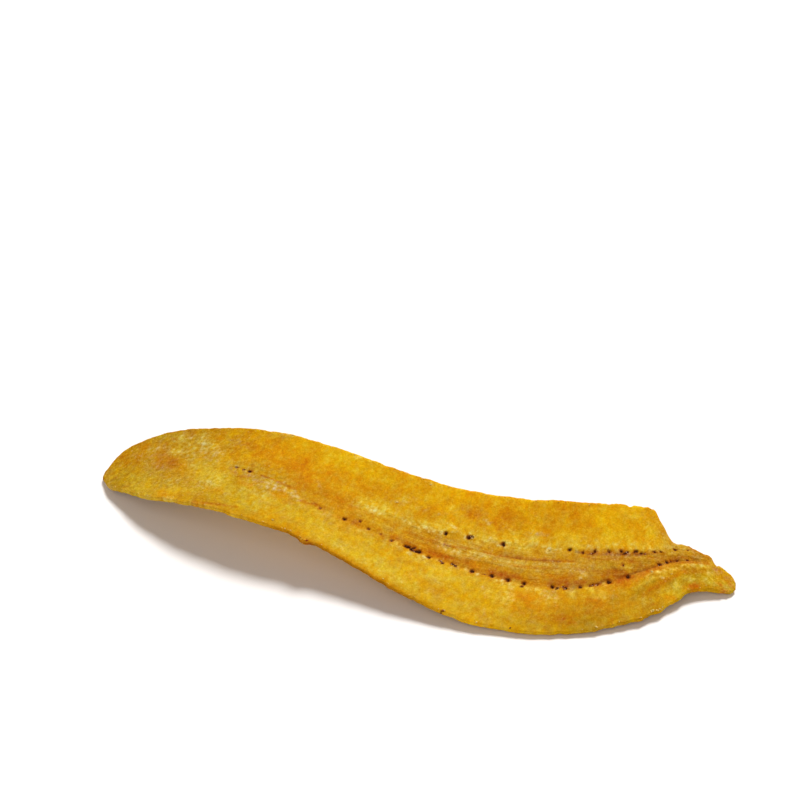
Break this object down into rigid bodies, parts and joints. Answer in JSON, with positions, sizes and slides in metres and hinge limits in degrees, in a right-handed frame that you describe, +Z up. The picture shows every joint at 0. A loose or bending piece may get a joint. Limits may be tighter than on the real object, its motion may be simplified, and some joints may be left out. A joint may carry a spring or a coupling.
{
  "type": "fried plantain strip",
  "caption": "Thin lengthwise slice of fried ripe plantain lying cut side up, arched and slightly twisted, with a round end, a narrow stalk end and a sunken seeded core.",
  "frame": {"origin": "centre of the bounding box on the surface that the slice lies on (z = 0)", "axes": "+Z up from the cut face that shows; +X along the slice, from its round end to its stalk end; +Y towards the raised long edge"},
  "size_m": [0.173, 0.069, 0.0193],
  "materials": {
    "plantain_flesh": "golden yellow fried fruit flesh, waxy and faintly oily, finely granular, with an orange tinge and a brown fibrous core"
  },
  "bodies": {
    "root": {"plantain_strip": "plantain_flesh"}
  },
  "joints": []
}
